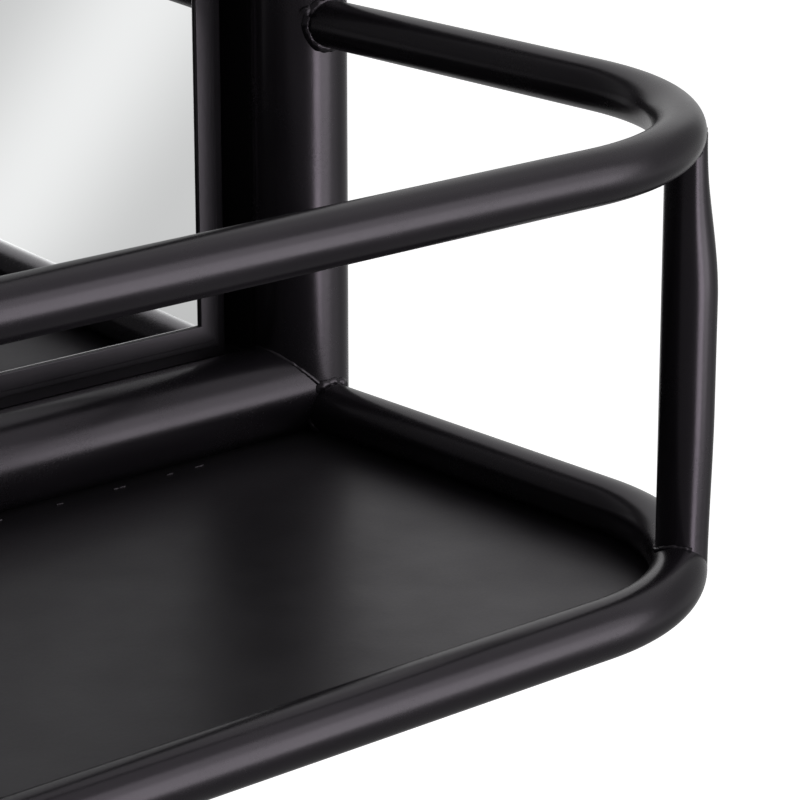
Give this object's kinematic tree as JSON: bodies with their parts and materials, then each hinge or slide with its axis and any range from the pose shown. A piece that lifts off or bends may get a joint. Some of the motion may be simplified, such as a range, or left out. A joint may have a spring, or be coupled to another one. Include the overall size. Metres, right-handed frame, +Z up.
{
  "type": "medicine cabinet with mirror",
  "caption": "Wall-hung steel medicine cabinet whose tube-framed mirror door swings open and carries an open tray shelf with a guard rail.",
  "frame": {"origin": "centre of the wall fixing pattern, on the back face of the cabinet that lies against the wall", "axes": "+X to the right as seen from the room, +Y into the wall, +Z up"},
  "size_m": [0.508, 0.2607, 0.762],
  "materials": {
    "powder_coat_tube": "satin black powder coat",
    "powder_coat_sheet": "satin black powder coat",
    "mirror": "silvered float glass",
    "shelf_glass": "polished clear glass",
    "zinc_steel": "zinc plated",
    "pin_steel": "bright steel",
    "catch_plastic": "moulded black nylon",
    "bumper_rubber": "soft moulded",
    "brass_washer": "plain",
    "foam_pad": "closed-cell foam"
  },
  "bodies": {
    "cabinet": {"cabinet_back": "powder_coat_sheet", "cabinet_floor": "powder_coat_sheet", "cabinet_side_left": "powder_coat_sheet", "cabinet_side_right": "powder_coat_sheet", "cabinet_top": "powder_coat_sheet", "catch_housing": "catch_plastic", "catch_pole_plates": "zinc_steel", "glass_shelf_lower": "shelf_glass", "glass_shelf_upper": "shelf_glass", "hinge_bracket_lower": "powder_coat_tube", "hinge_bracket_upper": "powder_coat_tube", "hinge_pin_lower": "pin_steel", "hinge_pin_upper": "pin_steel", "hinge_screws_lower": "zinc_steel", "hinge_screws_upper": "zinc_steel", "hinge_washer_lower": "brass_washer", "hinge_washer_upper": "brass_washer", "shelf_pegs_lower": "zinc_steel", "shelf_pegs_upper": "zinc_steel"},
    "door": {"catch_strike_plate": "zinc_steel", "door_back_pan": "powder_coat_sheet", "door_bumpers": "bumper_rubber", "frame_tube_bottom": "powder_coat_tube", "frame_tube_left": "powder_coat_tube", "frame_tube_right": "powder_coat_tube", "frame_tube_top": "powder_coat_tube", "guard_post_left": "powder_coat_tube", "guard_post_right": "powder_coat_tube", "guard_rail_tube": "powder_coat_tube", "hinge_sleeve_lower": "powder_coat_tube", "hinge_sleeve_upper": "powder_coat_tube", "mirror_backing_pad": "foam_pad", "mirror_bezel_bottom": "powder_coat_sheet", "mirror_bezel_left": "powder_coat_sheet", "mirror_bezel_right": "powder_coat_sheet", "mirror_bezel_top": "powder_coat_sheet", "mirror_glass": "mirror", "tray_plate": "powder_coat_sheet", "tray_rim_tube": "powder_coat_tube"}
  },
  "joints": [
    {"name": "door_swing", "type": "hinge", "parent": "cabinet", "child": "door", "pos_m": [-0.245, -0.1064, 0], "axis": [0, 0, -1], "range_deg": [0, 110]}
  ]
}
